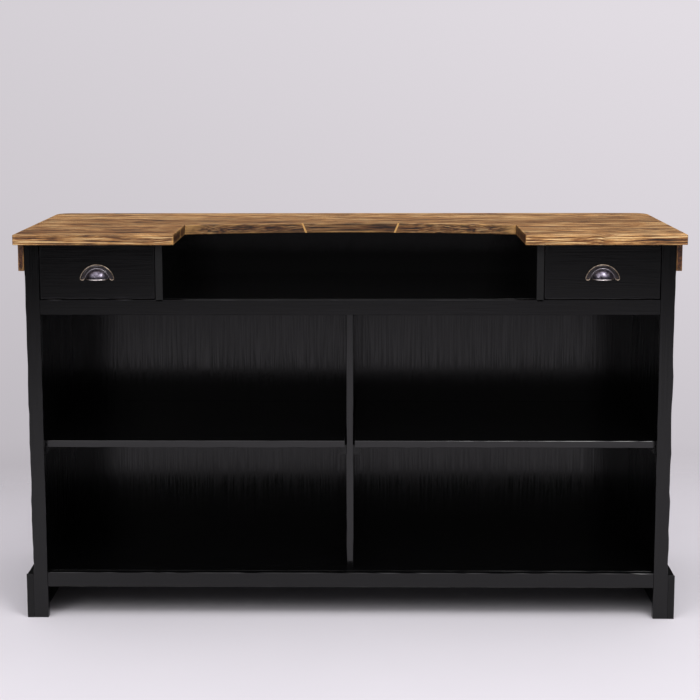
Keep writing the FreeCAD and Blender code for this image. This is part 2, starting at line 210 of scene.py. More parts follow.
# Planed boards show the paint nearly smooth, and brushed ones break a reflection into fine upright
# lines. The side panels' flatter paint mirrors little, and the second coat where goods slide most.
black_pine = painted_black("planed_pine_painted_black", 0.06 * mm, 0.12, 0.22, 1.4)
brushed_pine = painted_black("brushed_pine_painted_black", 0.13 * mm, 0.12, 0.25, 1.4)
matt_pine = painted_black("brushed_pine_painted_matt_black", 0.13 * mm, 0.24, 0.34, 1.35)
twice_coated_pine = painted_black("planed_pine_painted_black_twice", 0.04 * mm, 0.12, 0.2, 1.5)

finishes = {"black_pine": black_pine}
finish_of = {part["node"]: part["material_slot"] for part in frame["record"]["subparts"]}
body_of = {child.name: name for name, body in frame["bodies"].items() for child in body.children}

arris = 1.4 * mm       # the sanded edge of every board
wear_width = 9 * mm    # how far in from an arris hands and cloths reach
station_step = 28 * mm
corner_turn = 0.4      # radians; where an outline turns less, it is a curve and keeps its edge
worn_share = 0.3       # wear crosses at most this part of a narrow board


def outline_stations(corners, arris):
    """Places round a board's outline with each sharp corner taken off: (place, wear, corner, mitre).
    Beside a corner, corner and mitre give the corner and the way that an inset of it moves."""
    found = []
    for i, corner in enumerate(corners):
        here, after = Vector(corner), Vector(corners[(i + 1) % len(corners)])
        before, beyond = Vector(corners[i - 1]), Vector(corners[(i + 2) % len(corners)])
        run = (after - here).length
        along = (after - here) / run
        inward = Vector((-along.y, along.x))
        start = arris if (here - before).angle(along) > corner_turn else 0.0
        end = run - arris if (beyond - after).angle(along) > corner_turn else run
        fading = min(wear_width, worn_share * (end - start))
        first = start + fading if start else start
        last = end - fading if end < run else end
        count = max(1, round((last - first) / station_step))
        marks = [start] + [first + (last - first) * k / count for k in range(count + 1)] + [end]
        for k, distance in enumerate(marks):
            if k and distance < marks[k - 1] + 0.1 * mm or k == len(marks) - 1 and end == run:
                continue
            at_start, at_end = start > 0 and distance == start, end < run and distance == end
            point, other = (after, beyond - after) if at_end else (here, here - before)
            if at_start or at_end:
                turned = Vector((-other.y, other.x)).normalized()
                mitre = (inward + turned) / (1 + inward.dot(turned))
                found.append((here + along * distance, 1.0, point, mitre))
            else:
                found.append((here + along * distance, 0.0, None, None))
    return found


def as_mesh(sheet, name):
    """Keeps what was drawn as a mesh."""
    mesh = bpy.data.meshes.new(name)
    sheet.to_mesh(mesh)
    sheet.free()
    return mesh


def close_rows(rows_of_points):
    """Faces between rows of points that go round a piece, and a face over each end, as a mesh."""
    sheet = bmesh.new()
    worn_layer = sheet.verts.layers.float.new("worn")
    rows = []
    for row in rows_of_points:
        rows.append([sheet.verts.new(place) for place, wear in row])
        for vertex, (place, wear) in zip(rows[-1], row):
            vertex[worn_layer] = wear
    for lower, upper in zip(rows, rows[1:]):
        for i in range(len(lower)):
            k = (i + 1) % len(lower)
            sheet.faces.new((lower[i], lower[k], upper[k], upper[i]))
    sheet.faces.new(list(reversed(rows[0])))
    sheet.faces.new(rows[-1])
    bmesh.ops.remove_doubles(sheet, verts=sheet.verts, dist=0.001 * mm)
    bmesh.ops.recalc_face_normals(sheet, faces=sheet.faces)
    if sheet.calc_volume(signed=True) < 0:
        bmesh.ops.reverse_faces(sheet, faces=sheet.faces)
    return as_mesh(sheet, "shape")


def inward_at(places, i):
    """The way into the outline at one of its places."""
    run = places[(i + 1) % len(places)] - places[i - 1]
    return Vector((-run.y, run.x)).normalized()


def room_ahead(corners, place, inward):
    """How far the outline is across from one of its places."""
    found = [1.0]
    for i, corner in enumerate(corners):
        first, run = Vector(corner), Vector(corners[(i + 1) % len(corners)]) - Vector(corner)
        turn = inward.cross(run)
        if abs(turn) > 1e-9:
            away = (first - place).cross(run) / turn
            along = (first - place).cross(inward) / turn
            if away > 0.01 * mm and 0 <= along <= 1:
                found.append(away)
    return min(found)


arris_waves, long_waves, short_waves = 30, 11, 31  # of sanding and of wear, to the metre
usual_arris, arris_spread = 0.75, 0.5  # how wide sanding leaves an arris, as parts of its full width
usual_wear, short_share = 0.45, 0.6    # a part of the full depth, and the short waves beside the long
inset_share = 0.35     # an inset goes at most this part of the way across a board
pith_aside, pith_nearest, pith_farthest = 30 * mm, 35 * mm, 80 * mm  # from the middle of a board
log_length = 40        # metres of log that the boards are cut from
tone_draw = " 33"      # of the draws tried, the one that tells the boards of the worktop apart
squarely = 0.7         # a face turned further than this along an axis looks that way
# Part of a sawn curve's darkness is painted shade: the bay's curved face turns to the front and takes less
# light than the top.
sawn_thirst_and_shade = 0.65     # a sawn curve soaks up stain and dulls, less than a cut end (1.0) does


def cut_board(node, grain_axis, corners=None, flat_axis=None, hand_worn=None, bare=(-1, 9), sawn_axis=None,
              arris=arris):
    """Shapes the board that stands for a CAD node: its outline, its sanded and uneven arrises, and
    the grain of its own piece of timber. hand_worn is (direction in the outline's plane, depth), and
    bare is the pair of heights between which nothing covers that edge."""
    low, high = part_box(node)
    size = high - low
    if flat_axis is None:
        flat_axis = min(range(3), key=lambda axis: size[axis])
    u, v = [axis for axis in range(3) if axis != flat_axis]
    if corners is None:
        corners = [(low[u], low[v]), (high[u], low[v]), (high[u], high[v]), (low[u], high[v])]
    area = sum(a[0] * b[1] - b[0] * a[1] for a, b in zip(corners, list(corners[1:]) + [corners[0]]))
    if area < 0:
        corners = list(reversed(corners))
    near, far = low[flat_axis], high[flat_axis]
    stations = outline_stations(corners, arris)
    places = [station[0] for station in stations]
    count = max(1, round((far - near) / station_step))
    widths = [max(c[k] for c in corners) - min(c[k] for c in corners) for k in (0, 1)]
    reach = min(wear_width, worn_share * min(widths))
    inwards = [inward_at(places, i) for i in range(len(places))]
    rooms = [inset_share * room_ahead(corners, place, inward) for place, inward in zip(places, inwards)]
    levels = [(near, reach, 0), (near, arris, 1), (near + arris, 0, 1)]
    levels += [(near + (far - near) * (k + 1) / (count + 1), 0, 0) for k in range(count)]
    levels += [(far - arris, 0, 1), (far, arris, 1), (far, reach, 0)]
    rows = []
    for depth, inset, level_wear in levels:
        row = []
        for i, (place, corner_wear, corner, mitre) in enumerate(stations):
            spot = Vector((0, 0, 0))
            spot[u], spot[v], spot[flat_axis] = place.x, place.y, depth
            uneven = usual_arris + arris_spread * noise.noise(spot * arris_waves)
            inward = inwards[i]
            point = place + inward * min(rooms[i], inset * (uneven if inset == arris else 1))
            if inset == reach:
                point = corner + mitre * min(rooms[i], reach) if corner else point
            elif hand_worn and bare[0] < spot.z < bare[1]:
                facing = max(0, -inward.dot(Vector(hand_worn[0])))
                waves = noise.noise(spot * long_waves) + short_share * noise.noise(spot * short_waves)
                point += inward * hand_worn[1] * facing * min(1, max(0, usual_wear + waves))
            spot[u], spot[v] = point.x, point.y
            row.append((spot, max(level_wear, corner_wear if inset < reach else 0) * uneven))
        rows.append(row)
    mesh = close_rows(rows)

    timber = random.Random(node)
    others = [axis for axis in range(3) if axis != grain_axis]
    through = min(others, key=lambda axis: size[axis])
    side = others[0] if others[1] == through else others[1]
    middle = (low + high) / 2
    pith_side = timber.uniform(-pith_aside, pith_aside)
    pith_depth = timber.choice((-1, 1)) * timber.uniform(pith_nearest, pith_farthest)
    along_log = timber.uniform(0, log_length)
    own_tone = mesh.attributes.new("own_tone", "FLOAT", "FACE")
    own_tone.data.foreach_set("value", [random.Random(node + tone_draw).random()] * len(mesh.polygons))
    grain_layer = mesh.attributes.new("grain", "FLOAT_VECTOR", "POINT")
    for vertex, cell in zip(mesh.vertices, grain_layer.data):
        place = vertex.co - middle
        cell.vector = (place[grain_axis] + along_log, place[side] + pith_side, place[through] + pith_depth)
    ends = mesh.attributes.new("end_grain", "FLOAT", "FACE")
    for face, cell in zip(mesh.polygons, ends.data):
        cell.value = 1.0 if abs(face.normal[grain_axis]) > squarely else 0.0
        if sawn_axis is not None and abs(face.normal[sawn_axis]) > squarely:
            cell.value = sawn_thirst_and_shade
    return mesh


def set_down(name, data):
    """A new object in the scene."""
    made = bpy.data.objects.new(name, data)
    bpy.context.scene.collection.objects.link(made)
    return made


def fit_board(node, mesh, finish=None):
    """Puts a finished board in place of its CAD node, with that node's finish and body."""
    slot = finish_of[node]
    board = set_down(slot + "_" + node, mesh)
    if not mesh.materials:
        mesh.materials.append(finish or finishes[slot])
    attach(board, body_of[node])
    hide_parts(node)


def make_board(node, grain_axis, finish=None, **shape):
    """Cuts a board and fits it."""
    fit_board(node, cut_board(node, grain_axis, **shape), finish)


for side in ("left", "right"):
    make_board("side_panel_" + side, Z, matt_pine)
make_board("partition", Z, twice_coated_pine)
for side in ("left", "right"):
    make_board("divider_" + side, Y)
filled_arris = 0.15 * mm  # these two boards end flush behind a rail, and the paint fills the joint
make_board("niche_floor", X, arris=filled_arris)
make_board("bottom_shelf", X, twice_coated_pine, arris=filled_arris)


# -------- back
# Two panels of upright boards behind the shelves, in brushed pine painted black, V-jointed on the
# customers' side and flush inside. The boards are alike, so one is shaped and laid in a row.

def shape_tree(name, **sizes):
    """A new geometry tree with a named input for each size, and the outputs of its input node."""
    tree = bpy.data.node_groups.new(name, "GeometryNodeTree")
    tree.is_modifier = True
    for size, kind in {"Geometry": "Geometry", **sizes}.items():
        tree.interface.new_socket(size, in_out="INPUT", socket_type="NodeSocket" + kind)
    tree.interface.new_socket("Geometry", in_out="OUTPUT", socket_type="NodeSocketGeometry")
    return tree, add(tree, "NodeGroupInput")


def repeated(name, piece, count, step, material):
    """Repeats one piece along a line by a step and gives each its own piece of timber."""
    tree, given = shape_tree(name + "_row", Count="Int", Step="Vector")
    line = add(tree, "GeometryNodeMeshLine", {"mode": "OFFSET"},
               {"Count": given["Count"], "Offset": given["Step"]})
    row = add(tree, "GeometryNodeInstanceOnPoints",
              wires={"Points": line["Mesh"], "Instance": given["Geometry"]})
    number = add(tree, "GeometryNodeInputIndex")
    log = add(tree, "FunctionNodeRandomValue", {"data_type": "FLOAT_VECTOR"},
              {"Min": (0, -0.04, -0.01), "Max": (30, 0.04, 0.03), "ID": number["Index"], "Seed": 7})
    named = add(tree, "GeometryNodeStoreNamedAttribute", {"data_type": "FLOAT_VECTOR", "domain": "INSTANCE"},
                {"Geometry": row["Instances"], "Name": "log", "Value": log["Value"]})
    laid = add(tree, "GeometryNodeRealizeInstances", wires={"Geometry": named["Geometry"]})
    own = add(tree, "GeometryNodeInputNamedAttribute", {"data_type": "FLOAT_VECTOR"}, {"Name": "grain"})
    chosen = add(tree, "GeometryNodeInputNamedAttribute", {"data_type": "FLOAT_VECTOR"}, {"Name": "log"})
    both = add(tree, "VectorMath", "ADD", {0: own["Attribute"], 1: chosen["Attribute"]})
    grained = add(tree, "GeometryNodeStoreNamedAttribute", {"data_type": "FLOAT_VECTOR", "domain": "POINT"},
                  {"Geometry": laid["Geometry"], "Name": "grain", "Value": both["Vector"]})
    painted = add(tree, "GeometryNodeSetMaterial",
                  wires={"Geometry": grained["Geometry"], "Material": material})
    add(tree, "NodeGroupOutput", wires={"Geometry": painted["Geometry"]})
    return laid_by(name, tree, piece, {"Count": count, "Step": step})


def laid_by(name, tree, mesh, sizes):
    """Runs a tree on a mesh with the sizes given by name, and keeps the result as a plain mesh."""
    bench = set_down(name + "_bench", mesh)
    step = bench.modifiers.new("make", "NODES")
    step.node_group = tree
    for item in tree.interface.items_tree:
        if item.in_out == "INPUT" and item.name in sizes:
            step[item.identifier] = sizes[item.name]
    shown = bench.evaluated_get(bpy.context.evaluated_depsgraph_get())
    made = bpy.data.meshes.new_from_object(shown)
    bench.modifiers.remove(step)
    bpy.data.objects.remove(bench)
    return made


v_joint_width = 8 * mm
v_joint_depth = 4 * mm
boards_per_panel = 8
glued_arris = 0.15 * mm
for side in ("left", "right"):
    node = "back_panel_" + side
    low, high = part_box(node)
    pitch = (high.x - low.x) / boards_per_panel
    half_v = v_joint_width / 2
    one = [(low.x, low.y), (low.x + pitch, low.y), (low.x + pitch, high.y - v_joint_depth),
           (low.x + pitch - half_v, high.y), (low.x + half_v, high.y), (low.x, high.y - v_joint_depth)]
    board = cut_board(node, Z, corners=one, flat_axis=Z, arris=glued_arris)
    fit_board(node, repeated(node, board, boards_per_panel, (pitch, 0, 0), brushed_pine))


# -------- face frame
# Two stiles from the floor to the worktop, and two rails tenoned between them, in planed pine
# painted black. The outer edges of the stiles are eased unevenly by hand.
stile_low, stile_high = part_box("front_stile_left")
stile_inner = stile_high.x
edge_easing = 3 * mm
small_arris = 0.8 * mm
bare_stile = (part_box("plinth_left")[1].z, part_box("frieze_left")[0].z)
for side, outwards in (("left", (-1, 0)), ("right", (1, 0))):
    make_board("front_stile_" + side, Z, hand_worn=(outwards, edge_easing), bare=bare_stile,
               arris=small_arris)


def rail_between(node, inner):
    """A rail that shows between its stiles: its tenons are inside them."""
    low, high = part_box(node)
    corners = [(inner, low.z), (-inner, low.z), (-inner, high.z), (inner, high.z)]
    make_board(node, X, corners=corners, flat_axis=Y)


rail_between("mid_rail", stile_inner)
rail_between("bottom_rail", stile_inner)


# -------- customers' frame
# Two stiles, a muntin and two rails in the same painted pine, tenoned together and planted over the
# boarded back.
customer_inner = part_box("customer_stile_left")[1].x
make_board("customer_stile_left", Z)
make_board("customer_stile_right", Z)
rail_between("customer_rail_lower", customer_inner)
rail_between("customer_rail_upper", customer_inner)
muntin_low, muntin_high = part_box("customer_muntin")
muntin_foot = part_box("customer_rail_lower")[1].z
muntin_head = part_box("customer_rail_upper")[0].z
muntin = [(muntin_low.x, muntin_foot), (muntin_high.x, muntin_foot),
          (muntin_high.x, muntin_head), (muntin_low.x, muntin_head)]
make_board("customer_muntin", Z, corners=muntin, flat_axis=Y)


# -------- plinth and frieze
# Pine boards planted round the two ends and the customers' side, mitred where they meet: a painted
# plinth on the floor and a stained strip under the worktop, its front ends eased by hand.

def skirt_outline(node, inner_x, inner_y):
    """A mitred skirt board drawn in plan, from the box of its node and the corner that it goes round."""
    low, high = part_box(node)
    if node.endswith("_customer"):
        return [(low.x, high.y), (-inner_x, inner_y), (inner_x, inner_y), (high.x, high.y)]
    outer = low.x if low.x < 0 else high.x
    inner = copysign(inner_x, outer)
    return [(inner, low.y), (outer, low.y), (outer, high.y), (inner, inner_y)]


carcass_half = -stile_low.x
carcass_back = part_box("customer_stile_left")[1].y
# Worktop and frieze: brushed pine with a brown stain under satin varnish. The soft early
# wood is brushed out and holds the stain, so dark lines run lengthwise; arrises are worn golden,
# and that gold is partly a painted highlight along the edges.
brown_pine, tree, figure, worn, ends = wood("brushed_pine_stained_brown")
brushed = add(tree, "Math", "MULTIPLY_ADD", {0: figure["Fibre"], 1: 0.5, 2: figure["Streak"]})
stain = add(tree, "ValToRGB",
            {"stops": [(0.62, "#48301c"), (0.69, "#94663a"), (0.745, "#d09a5a"),
                       (0.80, "#f0c080"), (0.88, "#ffe0a6")]},
            {"Fac": brushed["Value"]})
own_tone = add(tree, "Attribute", {"attribute_name": "own_tone"})
paleness = add(tree, "Math", "MULTIPLY_ADD", {0: own_tone["Fac"], 1: 0.4, 2: figure["Tone"]})
shade = add(tree, "ValToRGB", {"stops": [(0.4, "#b4a595"), (0.85, "#ffffff")]}, {"Fac": paleness["Value"]})
toned = add(tree, "Mix", tint, {"Factor": 1.0, "A": stain["Color"], "B": shade["Color"]})
lines = add(tree, "Mix", tint, {"Factor": figure["Late wood"], "A": toned["Result"], "B": "#a58a6c"})
knotted = add(tree, "Mix", blend, {"Factor": figure["Knot"], "A": lines["Result"], "B": "#2e1e12"})
# End grain and sawn curves darkened: stain soaking in, and on the bay's curve partly painted shade.
soaked_and_shaded = add(tree, "Mix", tint, {"Factor": ends, "A": knotted["Result"], "B": "#775c46"})
grooves = add(tree, "ValToRGB",
              {"stops": [(0.38, "#463122"), (0.465, "#bda68f"), (0.53, "#ffffff")]},
              {"Fac": figure["Fibre"]})
furrowed = add(tree, "Mix", tint, {"Factor": 1.0, "A": soaked_and_shaded["Result"], "B": grooves["Color"]})
# Golden arrises: partly worn through the stain, partly a painted highlight.
polished_and_highlit = add(tree, "Math", "POWER", {0: worn, 1: 3.0})
rubbing_and_highlight = add(tree, "Math", "MULTIPLY", {0: polished_and_highlit["Value"], 1: figure["Streak"]})
colour = add(tree, "Mix", blend, {"Factor": rubbing_and_highlight["Value"], "A": furrowed["Result"], "B": "#dca962"})
varnish = add(tree, "MapRange", wires={"Value": figure["Fibre"], "To Min": 0.6, "To Max": 0.42})
complete(tree, colour["Result"], varnish["Result"], brushed["Value"], 0.8, 1.2 * mm, IOR=1.5)
finishes["brown_pine"] = brown_pine

skirt_easing = 2.4 * mm
for skirt, skirt_arris in (("plinth", 0.4 * mm), ("frieze", arris)):
    for side, grain_axis, outwards in (("left", Y, (-1, 0)), ("right", Y, (1, 0)), ("customer", X, (0, 1))):
        node = skirt + "_" + side
        make_board(node, grain_axis, corners=skirt_outline(node, carcass_half, carcass_back), flat_axis=Z,
                   hand_worn=(outwards, skirt_easing), arris=skirt_arris)


# -------- worktop
# Six boards of stained pine glued edge to edge: two short ones each side of the bay, one across behind
# it and one along the customers' side with rounded corners. Screwed up from battens on the carcass.
bay_half_width = 482 * mm
bay_corner_depth = 250 * mm
bay_middle_depth = 304 * mm
corner_radius = 40 * mm
front_low, front_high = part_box("top_board_front_left")
inner_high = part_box("top_board_inner_left")[1]
rear_low, rear_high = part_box("top_board_rear")
top_half = -front_low.x
front_edge = front_low.y
bay_corner_y = front_edge + bay_corner_depth
bay_middle_y = front_edge + bay_middle_depth
bay_rise = bay_middle_y - bay_corner_y
bay_radius = (bay_half_width ** 2 + bay_rise ** 2) / (2 * bay_rise)
bay_centre_y = bay_middle_y - bay_radius
bite_half = sqrt(bay_radius ** 2 - (inner_high.y - bay_centre_y) ** 2)


def bay_arc(first_x, last_x, count):
    """Points along the bay's curved edge."""
    places = [first_x + (last_x - first_x) * k / count for k in range(count + 1)]
    return [(x, bay_centre_y + sqrt(bay_radius ** 2 - x * x)) for x in places]


def round_corner(centre_x, centre_y, first_turn, count=8):
    """A quarter circle at a worktop corner, counter-clockwise from the given quarter turn."""
    turns = [radians(90 * (first_turn + k / count)) for k in range(count + 1)]
    return [(centre_x + corner_radius * cos(t), centre_y + corner_radius * sin(t)) for t in turns]


tip_width = 6 * mm
inner_left = [(-top_half, front_high.y), (-bay_half_width, front_high.y)]
inner_left += bay_arc(-bay_half_width, -bite_half - 1.3 * tip_width, 14)
inner_left += bay_arc(-bite_half - tip_width, -bite_half, 1) + [(-top_half, inner_high.y)]
inner_right = [(-x, y) for x, y in reversed(inner_left)]
middle = [(-top_half, inner_high.y)] + bay_arc(-bite_half, bite_half, 10)
middle += [(top_half, inner_high.y), (top_half, rear_low.y), (-top_half, rear_low.y)]
rear = [(-top_half, rear_low.y), (top_half, rear_low.y)]
rear += round_corner(top_half - corner_radius, rear_high.y - corner_radius, 0)
rear += round_corner(corner_radius - top_half, rear_high.y - corner_radius, 1)


def finish_bay_edge(mesh):
    """The blade leaned as it cut the bay, so each joint crosses the cut edge at a slant, marked by the
    pale feather tip of the inner board. The edge is rubbed golden towards the bay's corners, the gold
    partly a painted highlight."""
    tip_slant, easing, rubbed_and_lit_reach = 12 * mm, 60 * mm, 90 * mm
    for vertex, cell in zip(mesh.vertices, mesh.attributes["worn"].data):
        x, y, z = vertex.co
        from_tip = abs(x) - bite_half
        arc_y = bay_centre_y + sqrt(bay_radius ** 2 - min(abs(x), bay_half_width) ** 2)
        if abs(x) <= bay_half_width and abs(y - arc_y) < 1 * mm:
            if 0.1 * mm < from_tip < 1.1 * tip_width:
                cell.value = 1.3
            cell.value = max(cell.value, 1.05 * (1 - (bay_half_width - abs(x)) / rubbed_and_lit_reach))
        if abs(from_tip) < easing and y < inner_high.y + 15 * mm:
            height = (z - front_low.z) / (front_high.z - front_low.z) - 0.5
            vertex.co.x += copysign(tip_slant, x) * height * (1 - abs(from_tip) / easing)
    return mesh


for place, outline in (("front_left", None), ("front_right", None), ("rear", rear)):
    make_board("top_board_" + place, X, corners=outline, flat_axis=Z)
for place, outline in (("inner_left", inner_left), ("inner_right", inner_right), ("middle", middle)):
    node = "top_board_" + place
    fit_board(node, finish_bay_edge(cut_board(node, X, corners=outline, flat_axis=Z, sawn_axis=Y)))
for place, grain_axis in (("left", Y), ("right", Y), ("rear", X)):
    make_board("top_batten_" + place, grain_axis)


def lathed(profile, centre, outwards, count):
    """Turns a profile of (radius, distance out) about an axis that points outwards."""
    aside = outwards.orthogonal().normalized()
    across = outwards.cross(aside)
    ways = [aside * cos(tau * k / count) + across * sin(tau * k / count) for k in range(count)]
    return close_rows([[(centre + outwards * out + way * radius, 0) for way in ways]
                       for radius, out in profile])


def gathered(name, parts):
    """Joins meshes into one with their materials, rounded faces smooth."""
    sheet = bmesh.new()
    joined = bpy.data.meshes.new(name)
    for number, (mesh, material) in enumerate(parts):
        done = len(sheet.faces)
        sheet.from_mesh(mesh)
        sheet.faces.ensure_lookup_table()
        for face in sheet.faces[done:]:
            face.material_index = number
        joined.materials.append(material)
    sheet.to_mesh(joined)
    sheet.free()
    joined.shade_smooth()
    joined.set_sharp_from_angle(angle=radians(50))
    return joined


# Zinc-plated steel: a cool pale grey with a faint yellow bloom, dull where the driver has slipped.
zinc, tree = new_finish("zinc_plated_steel")
place = add(tree, "TexCoord")["Object"]
bloom = add(tree, "TexNoise", wires={"Vector": place, "Scale": 1 / (3 * mm), "Detail": 3.0})
colour = add(tree, "ValToRGB", {"stops": [(0.35, "#9ea2a8"), (0.65, "#c9c3a8")]}, {"Fac": bloom["Fac"]})
slipped = add(tree, "MapRange", wires={"Value": bloom["Fac"], "To Min": 0.22, "To Max": 0.5})
complete(tree, colour["Color"], slipped["Result"], bloom["Fac"], 0.3, 0.1 * mm, Metallic=1.0)

# Countersunk screws up through the battens, in a row under each end and one along the back.
screw_low, screw_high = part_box("top_screws")
countersink_radius, countersink_depth = 4 * mm, 2.2 * mm
shank_radius, recess_radius, recess_depth = 2 * mm, 1.7 * mm, 1.4 * mm
screw_profile = [(shank_radius, screw_low.z - screw_high.z), (shank_radius, -countersink_depth),
                 (countersink_radius, 0), (recess_radius, 0), (0.5 * recess_radius, -recess_depth)]
row_x, first_y = screw_high.x - countersink_radius, screw_low.y + countersink_radius
rear_y = screw_high.y - countersink_radius
end_spacing, middle_spacing, rear_spacing = 396 * mm, 150 * mm, 300 * mm
rows = []
for x in (-row_x, row_x):
    rows.append((x, first_y, 2, (0, end_spacing, 0)))
    rows.append((x, -middle_spacing / 2, 2, (0, middle_spacing, 0)))
rows.append((-rear_spacing, rear_y, 3, (rear_spacing, 0, 0)))
screws = []
for number, (x, y, count, step) in enumerate(rows):
    screw = lathed(screw_profile, Vector((x, y, screw_low.z)), Vector((0, 0, -1)), 20)
    screws.append((repeated("top_screw_%d" % number, screw, count, step, zinc), zinc))
fit_board("top_screws", gathered("top_screws", screws))


# -------- loose shelves
# Planed boards with a second coat of the black paint, which lift out. Each rests on two cleats, one
# screwed to a side panel and one to the partition.
for side in ("left", "right"):
    for node, grain_axis in (("loose_shelf_", X), ("side_cleat_", Y), ("partition_cleat_", Y)):
        make_board(node + side, grain_axis, twice_coated_pine, arris=small_arris)


# -------- drawers
# Boxes of planed, unpainted pine on a painted front that is rebated over the sides. They run on
# the niche floor between a guide and the divider, under a kicker, and meet a stop behind the front.
raw_pine, tree, figure, worn, ends = wood("planed_pine")
pale = add(tree, "Mix", blend, {"Factor": figure["Late wood"], "A": "#e0bf8e", "B": "#bf8d56"})
toned = add(tree, "Mix", tint, {"Factor": figure["Tone"], "A": pale["Result"], "B": "#e8d6bd"})
colour = add(tree, "Mix", blend, {"Factor": figure["Knot"], "A": toned["Result"], "B": "#6b3f20"})
# Every raw pine piece is drawn black up to 20 mm behind the front ends of the drawer sides,
# fading out by 35 mm, so that the gaps round the drawer fronts show dark and no pale wood.
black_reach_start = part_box("drawer_side_outer_left")[0].y
parts = add(tree, "SeparateXYZ", wires={"Vector": add(tree, "TexCoord")["Object"]})
black_near_front = add(tree, "MapRange", wires={"Value": parts["Y"], "From Min": black_reach_start + 35 * mm,
                                       "From Max": black_reach_start + 20 * mm})
colour = add(tree, "Mix", blend, {"Factor": black_near_front["Result"], "A": colour["Result"], "B": "#070708"})
planing = add(tree, "MapRange", wires={"Value": figure["Fibre"], "To Min": 0.5, "To Max": 0.62})
complete(tree, colour["Result"], planing["Result"], figure["Fibre"], 0.3, 0.2 * mm, IOR=1.5)
finishes["raw_pine"] = raw_pine

for side in ("left", "right"):
    for node, grain_axis in (
        ("drawer_guide_", Y), ("drawer_kicker_", X), ("drawer_stop_", X), ("drawer_back_", X),
        ("drawer_side_outer_", Y), ("drawer_side_inner_", Y), ("drawer_bottom_", X),
    ):
        make_board(node + side, grain_axis)
    node = "drawer_front_" + side
    low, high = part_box(node)
    side_low, side_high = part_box("drawer_side_outer_" + side)
    lap_y, side_thickness = side_low.y, side_high.x - side_low.x
    front = [(low.x, low.y), (high.x, low.y), (high.x, lap_y), (high.x - side_thickness, lap_y),
             (high.x - side_thickness, high.y), (low.x + side_thickness, high.y),
             (low.x + side_thickness, lap_y), (low.x, lap_y)]
    make_board(node, X, corners=front, flat_axis=Z)


# -------- cup pulls
# Cast cups in antique pewter: a half-round flange with a bead round it, a domed cup with a rolled
# lip for the fingers, and a round-head screw through each foot. Bead and lip are rubbed bright.
rim_radius = 49 * mm
rim_centre_drop = 11 * mm
foot_radius = 6.7 * mm
flange_thickness = 2 * mm
flange_edge = 0.4 * mm
bead_radius = 1.1 * mm
dome_radius = 36 * mm
dome_setback = 15 * mm
dome_centre_drop = 7 * mm
dome_wall = 1.8 * mm
lip_drop = 3 * mm
lip_radius = 1.3 * mm
lip_belly = 1.3 * mm
belly_height = 9 * mm
fillet_radius = 1.0 * mm
screw_head_radius = 3.2 * mm
screw_head_height = 1.4 * mm
foot_offset = sqrt(rim_radius ** 2 - rim_centre_drop ** 2) - foot_radius


def turned(centre_x, centre_z, radius, first, last, count):
    """Points along an arc, angles in degrees from the right, counter-clockwise."""
    angles = [radians(first + (last - first) * k / count) for k in range(count + 1)]
    return [Vector((centre_x + radius * cos(a), centre_z + radius * sin(a))) for a in angles]


def rim_line(inset):
    """The flange's outer edge moved in: round the right foot, over the top, round the left foot."""
    radius = rim_radius - inset
    spring = degrees(asin(rim_centre_drop / radius))
    line = turned(foot_offset, 0, foot_radius - inset, 180, 345, 12)
    line += turned(0, -rim_centre_drop, radius, spring + 1, 179 - spring, 48)
    return line + turned(-foot_offset, 0, foot_radius - inset, 195, 360, 12)


def swept_bead(name, path, radius, taper, material):
    """A round bead along a line of points, thinner towards its ends by the taper."""
    tree, given = shape_tree(name, Radius="Float", Taper="Float")
    line = add(tree, "GeometryNodeMeshToCurve", wires={"Mesh": given["Geometry"]})
    place = add(tree, "GeometryNodeSplineParameter")
    from_middle = add(tree, "Math", "MULTIPLY_ADD", {0: place["Factor"], 1: 2.0, 2: -1.0})
    ends = add(tree, "Math", "MULTIPLY", {0: from_middle["Value"], 1: from_middle["Value"]})
    thinned = add(tree, "Math", "MULTIPLY", {0: ends["Value"], 1: given["Taper"]})
    scale = add(tree, "Math", "SUBTRACT", {0: 1.0, 1: thinned["Value"]})
    ring = add(tree, "GeometryNodeCurvePrimitiveCircle", wires={"Resolution": 12, "Radius": given["Radius"]})
    swept = add(tree, "GeometryNodeCurveToMesh", wires={
        "Curve": line["Curve"], "Profile Curve": ring["Curve"], "Scale": scale["Value"], "Fill Caps": True})
    real = add(tree, "GeometryNodeRealizeInstances", wires={"Geometry": swept["Mesh"]})
    finished = add(tree, "GeometryNodeSetMaterial",
                   wires={"Geometry": real["Geometry"], "Material": material})
    add(tree, "NodeGroupOutput", wires={"Geometry": finished["Geometry"]})
    line = bpy.data.meshes.new(name)
    line.from_pydata(path, [(i, i + 1) for i in range(len(path) - 1)], [])
    return laid_by(name, tree, line, {"Radius": radius, "Taper": taper})


